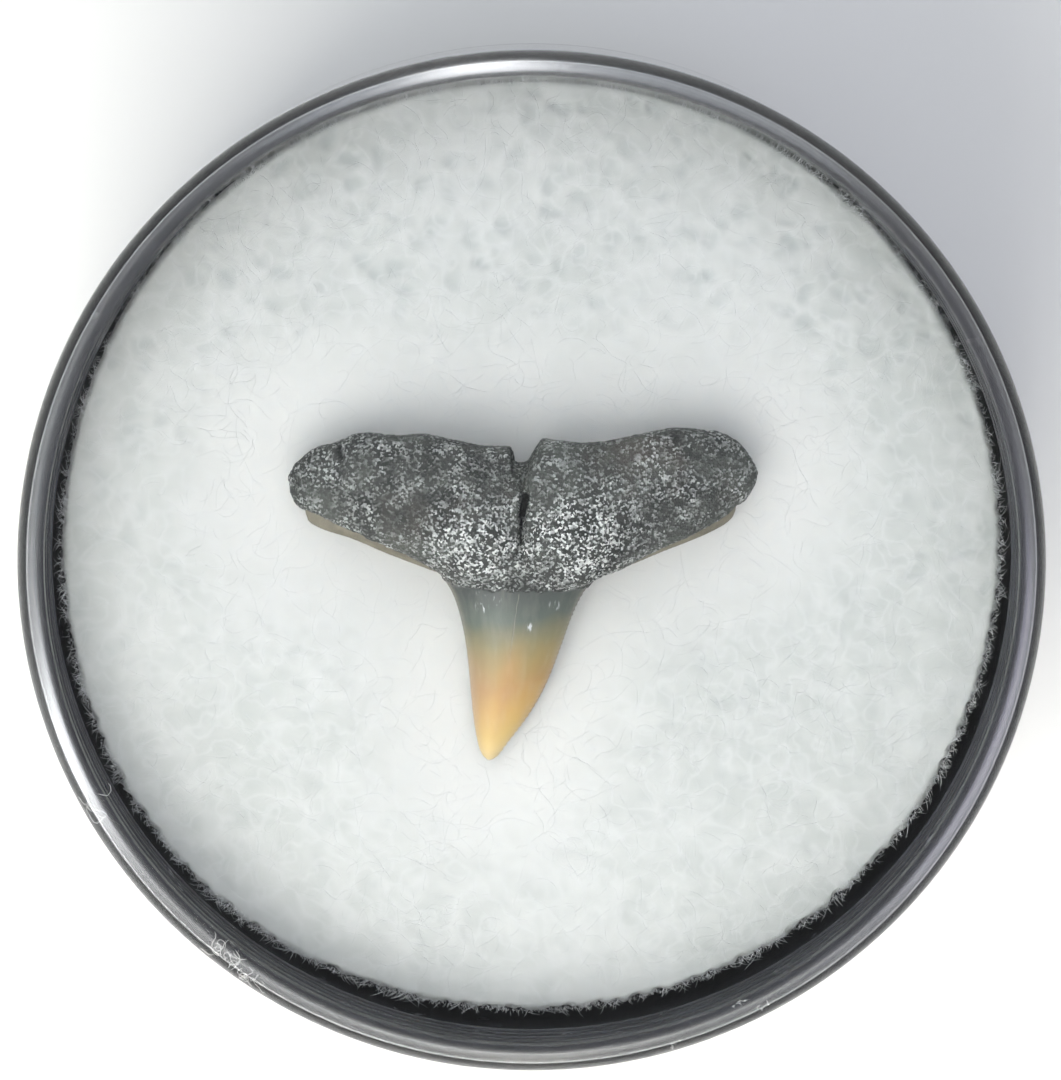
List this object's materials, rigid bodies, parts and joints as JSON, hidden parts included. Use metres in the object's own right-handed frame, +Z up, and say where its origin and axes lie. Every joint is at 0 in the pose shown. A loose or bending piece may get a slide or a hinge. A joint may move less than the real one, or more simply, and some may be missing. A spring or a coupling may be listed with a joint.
{
  "type": "fossil shark tooth in a round display jar",
  "caption": "Fossil shark tooth with a wide dark root and a slim cusp, laid on a white fibre pad in a round clear display jar with a lid.",
  "frame": {"origin": "middle of the jar's flat underside", "axes": "+Z up through the lid, +Y towards the root of the tooth, -Y towards its cusp, +X to the right when looked into from above"},
  "size_m": [0.038, 0.038, 0.0174],
  "materials": {
    "clear_plastic": "polished clear plastic",
    "dark_plastic": "polished dark plastic",
    "white_fibre": "soft white polyester fibre",
    "fossil_tooth": "granular charcoal root and glossy grey to amber enamel"
  },
  "bodies": {
    "root": {"jar_base": "dark_plastic", "jar_lid": "clear_plastic", "fibre_pad": "white_fibre", "shark_tooth": "fossil_tooth"}
  },
  "joints": []
}
